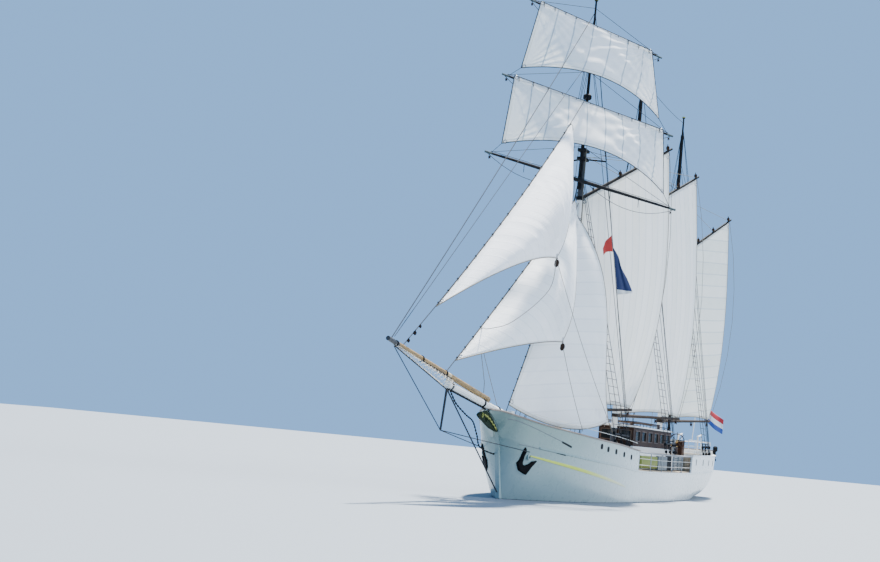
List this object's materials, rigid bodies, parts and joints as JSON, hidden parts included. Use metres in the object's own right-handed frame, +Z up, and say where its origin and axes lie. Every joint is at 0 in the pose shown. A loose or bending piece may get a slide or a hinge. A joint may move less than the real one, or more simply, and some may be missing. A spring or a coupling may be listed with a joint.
{
  "type": "three-masted topsail schooner, 1:2 scale model",
  "caption": "Three-masted topsail schooner under sail, with gaff rigs, square topsails on the foremast, headsails on a long jib boom, a raised deck aft and a varnished deckhouse.",
  "frame": {"origin": "on the centreline at the waterline, midway between the stem and the after perpendicular", "axes": "+X forward towards the bow, +Y to port, +Z up"},
  "size_m": [27.5879, 4.503, 15.8021],
  "materials": {
    "white_paint": "gloss",
    "black_paint": "satin",
    "sailcloth": "matte",
    "varnished_wood": "gloss",
    "spruce": "satin",
    "teak": "matte",
    "wire_rope": "satin",
    "bronze": "satin",
    "bunting": "matte"
  },
  "bodies": {
    "ship": {"hull": "white_paint", "deck": "teak", "bulwark_fore_port": "white_paint", "bulwark_fore_starboard": "white_paint", "bulwark_aft": "white_paint", "rail_waist_port": "white_paint", "rail_waist_starboard": "white_paint", "midship_trunk": "white_paint", "raised_deck": "teak", "deckhouse_walls": "varnished_wood", "deckhouse_roof": "white_paint", "fore_hatch": "varnished_wood", "windlass": "black_paint", "aft_skylight": "varnished_wood", "steering_box": "varnished_wood", "bowsprit": "white_paint", "jib_boom": "spruce", "dolphin_striker": "black_paint", "fore_lower_mast": "white_paint", "fore_topmast": "black_paint", "main_lower_mast": "white_paint", "main_topmast": "black_paint", "mizzen_lower_mast": "white_paint", "mizzen_topmast": "black_paint", "topmast_stay": "wire_rope", "outer_jib_stay": "wire_rope", "middle_jib_stay": "wire_rope", "fore_stay": "wire_rope", "outer_jib": "sailcloth", "middle_jib": "sailcloth", "fore_staysail": "sailcloth", "fore_shrouds_port": "wire_rope", "fore_shrouds_starboard": "wire_rope", "main_shrouds_port": "wire_rope", "main_shrouds_starboard": "wire_rope", "mizzen_shrouds_port": "wire_rope", "mizzen_shrouds_starboard": "wire_rope", "anchor_port": "black_paint", "anchor_starboard": "black_paint", "dinghy": "white_paint", "stern_rail": "white_paint", "ensign": "bunting", "signal_flag": "bunting"},
    "fore_rig": {"fore_boom": "varnished_wood", "fore_gaff": "black_paint", "foresail": "sailcloth"},
    "main_rig": {"main_boom": "varnished_wood", "main_gaff": "black_paint", "mainsail": "sailcloth"},
    "mizzen_rig": {"mizzen_boom": "varnished_wood", "mizzen_gaff": "black_paint", "mizzen_sail": "sailcloth"},
    "square_rig": {"lower_yard": "black_paint", "middle_yard": "black_paint", "upper_yard": "black_paint", "lower_topsail": "sailcloth", "upper_topsail": "sailcloth"},
    "rudder_blade": {"rudder": "white_paint"},
    "screw": {"propeller": "bronze"},
    "helm": {"steering_wheel": "varnished_wood"}
  },
  "joints": [
    {"name": "fore_rig_swing", "type": "hinge", "parent": "ship", "child": "fore_rig", "pos_m": [4.9, 0, 0], "axis": [-0.0419, 0, 0.9991], "range_deg": [-12, 45]},
    {"name": "main_rig_swing", "type": "hinge", "parent": "ship", "child": "main_rig", "pos_m": [-0.5, 0, 0], "axis": [-0.0419, 0, 0.9991], "range_deg": [-12, 45]},
    {"name": "mizzen_rig_swing", "type": "hinge", "parent": "ship", "child": "mizzen_rig", "pos_m": [-6.05, 0, 0], "axis": [-0.0419, 0, 0.9991], "range_deg": [-12, 45]},
    {"name": "square_rig_brace", "type": "hinge", "parent": "ship", "child": "square_rig", "pos_m": [5.07, 0, 0], "axis": [-0.0419, 0, 0.9991], "range_deg": [-84, 0]},
    {"name": "rudder_turn", "type": "hinge", "parent": "ship", "child": "rudder_blade", "pos_m": [-8.175, 0, 0], "axis": [0, 0, 1], "range_deg": [-35, 35]},
    {"name": "steering_wheel_spin", "type": "hinge", "parent": "ship", "child": "helm", "pos_m": [0, 0, 1.9653], "axis": [1, 0, 0], "range_deg": [-420, 420]},
    {"name": "propeller_spin", "type": "hinge", "parent": "ship", "child": "screw", "pos_m": [0, 0, -0.86], "axis": [1, 0, 0], "continuous": true}
  ],
  "couplings": [
    {"joint": "steering_wheel_spin", "follows": "rudder_turn", "ratio": 12}
  ]
}
